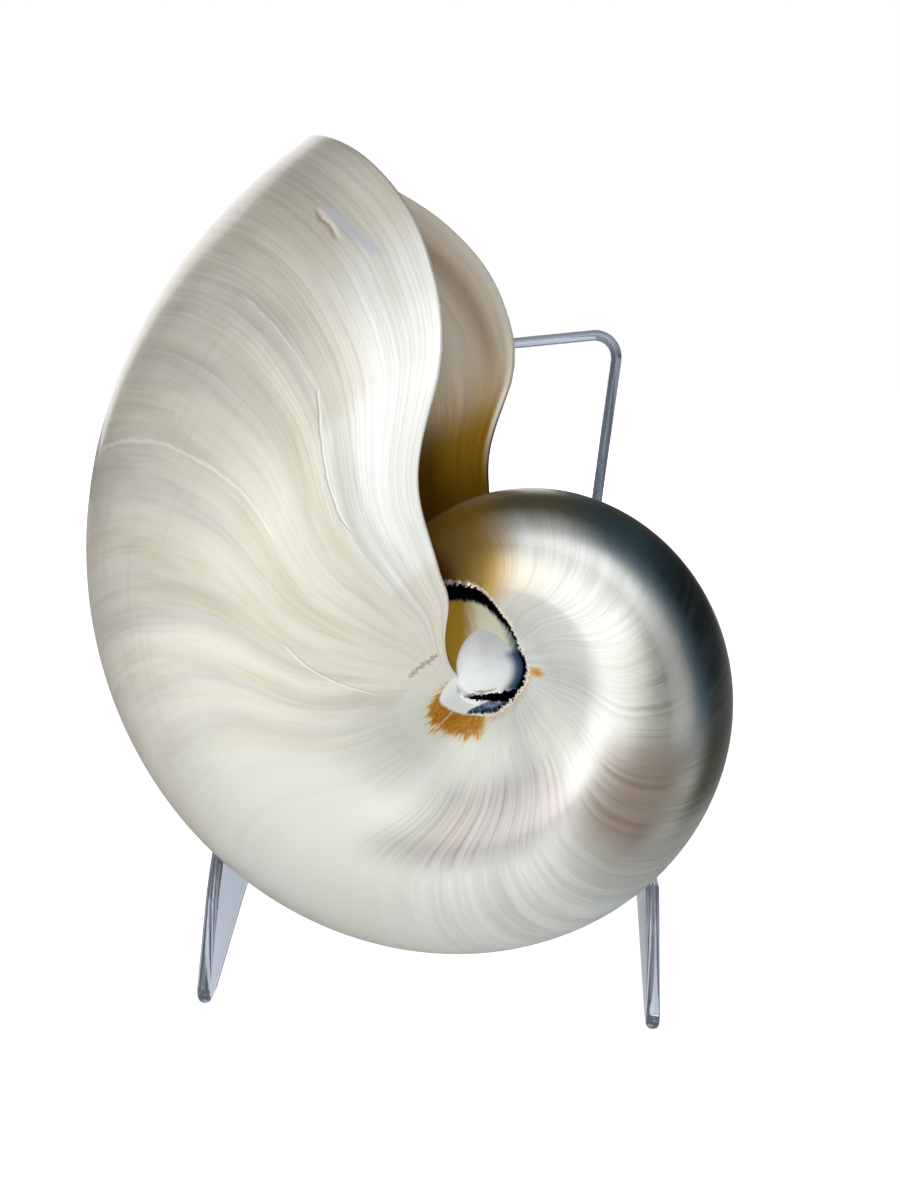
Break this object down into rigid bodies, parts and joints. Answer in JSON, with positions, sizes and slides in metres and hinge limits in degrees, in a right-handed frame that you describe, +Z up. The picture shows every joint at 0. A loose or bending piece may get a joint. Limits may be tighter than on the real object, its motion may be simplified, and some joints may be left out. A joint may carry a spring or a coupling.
{
  "type": "nautilus shell on a stand",
  "caption": "Polished pearl nautilus shell with an open living chamber and a coiled earlier whorl, standing in a clear acrylic stand of upright plates and a bent back rod.",
  "frame": {"origin": "middle of the footprint of the whole, on the table", "axes": "+Z up, front faces -Y, +X to the right as seen from the front; the shell opens towards +X and up"},
  "size_m": [0.1261, 0.1021, 0.1646],
  "materials": {
    "pearl": "polished mother of pearl with fine growth lines",
    "acrylic_plate": "clear, polished edges",
    "acrylic_rod": "clear, polished"
  },
  "bodies": {
    "root": {"shell": "pearl", "left_plate": "acrylic_plate", "right_plate": "acrylic_plate", "back_rod": "acrylic_rod"}
  },
  "joints": []
}
